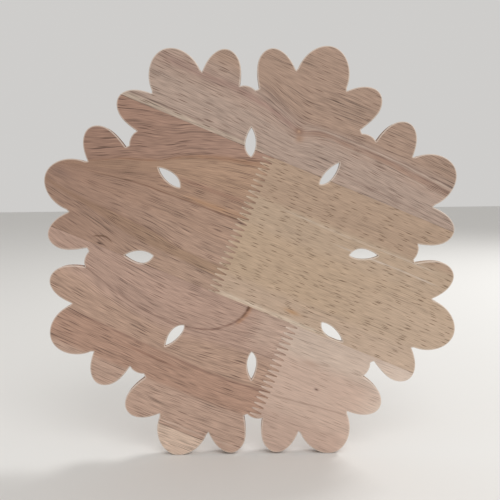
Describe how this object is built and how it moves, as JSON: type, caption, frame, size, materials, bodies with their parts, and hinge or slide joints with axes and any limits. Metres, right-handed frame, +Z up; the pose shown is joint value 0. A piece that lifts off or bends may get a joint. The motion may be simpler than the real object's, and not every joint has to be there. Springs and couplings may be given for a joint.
{
  "type": "carved wooden rosette",
  "caption": "Round flat-backed rosette of three-lobed leaves with pierced eyes, carved from finger-jointed board, to be fixed on furniture, a door or a wall.",
  "frame": {"origin": "middle of the flat back, on the rosette's axis", "axes": "+Y out of the flat back, into what carries the rosette; -Y out of the carved front; +Z up; +X to the right seen from the front"},
  "size_m": [0.2606, 0.025, 0.2606],
  "materials": {
    "grey_rubberwood": "sanded, unfinished",
    "brown_rubberwood": "sanded, unfinished",
    "yellow_rubberwood": "sanded, unfinished",
    "tan_rubberwood": "sanded, unfinished",
    "pale_rubberwood": "sanded, unfinished",
    "cream_rubberwood": "sanded, unfinished"
  },
  "bodies": {
    "root": {"top_stave": "grey_rubberwood", "middle_stave_brown": "brown_rubberwood", "middle_stave_yellow": "yellow_rubberwood", "lower_stave_tan": "tan_rubberwood", "lower_stave_pale": "pale_rubberwood", "bottom_stave_tip": "cream_rubberwood"}
  },
  "joints": []
}
